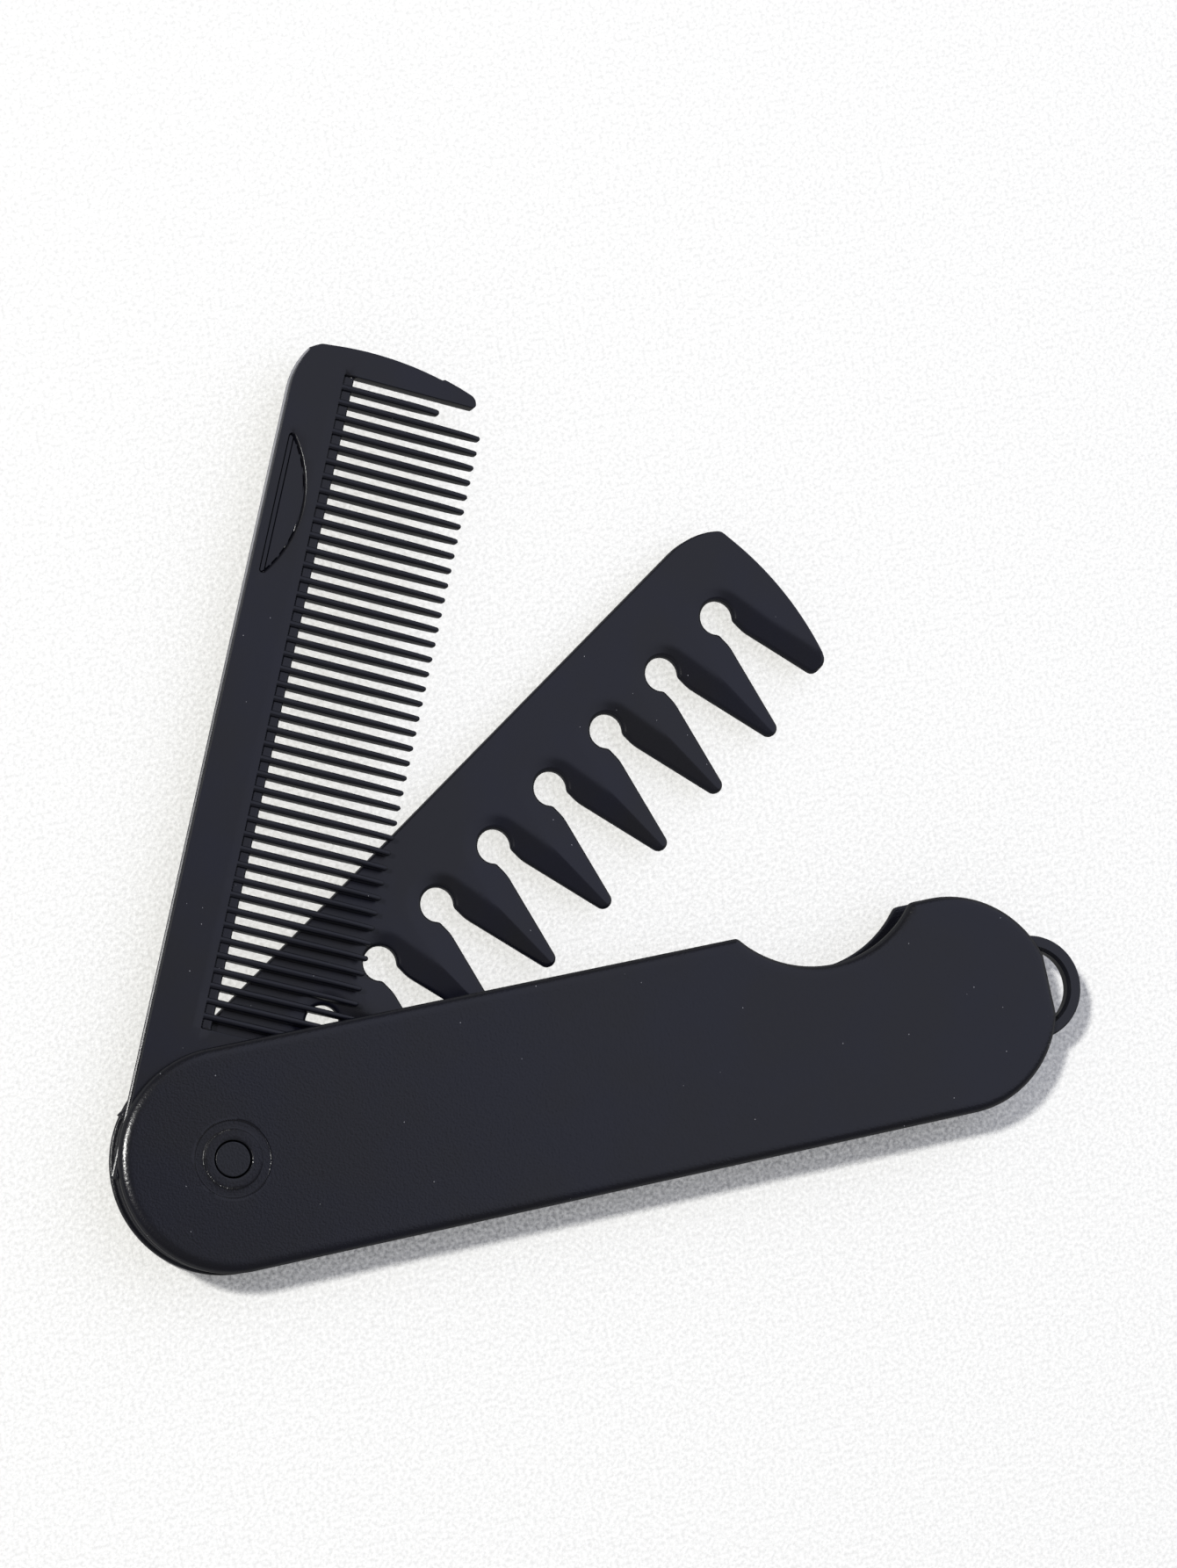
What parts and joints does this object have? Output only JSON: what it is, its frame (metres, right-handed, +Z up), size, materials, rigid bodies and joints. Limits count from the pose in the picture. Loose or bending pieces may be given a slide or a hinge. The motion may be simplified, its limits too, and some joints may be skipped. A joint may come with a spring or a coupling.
{
  "type": "folding comb",
  "caption": "Folding pocket comb: a fine-tooth comb and a wide-tooth comb with keyhole slots swing out of a slim round-ended case on one pivot pin.",
  "frame": {"origin": "centre of the case's underside, which is the back plate's flat outer face", "axes": "+X along the case from the pivot to the hang ring; +Y across the case towards the edge the combs swing out of; +Z up, out of the front plate"},
  "size_m": [0.1393, 0.1218, 0.0093],
  "materials": {
    "case_plastic": "black moulded plastic, fine satin grain",
    "comb_plastic": "black moulded plastic, smooth satin"
  },
  "bodies": {
    "case": {"front_shell": "case_plastic", "back_shell": "case_plastic", "pivot_pin": "case_plastic"},
    "fine": {"fine_comb": "comb_plastic"},
    "wide": {"wide_comb": "comb_plastic"}
  },
  "joints": [
    {"name": "fine_fold", "type": "hinge", "parent": "case", "child": "fine", "pos_m": [-0.05142, 0, 0.00605], "axis": [0, 0, 1], "range_deg": [-65.4, 114.6]},
    {"name": "wide_fold", "type": "hinge", "parent": "case", "child": "wide", "pos_m": [-0.05142, 0, 0.00325], "axis": [0, 0, 1], "range_deg": [-33.4, 146.6]}
  ]
}
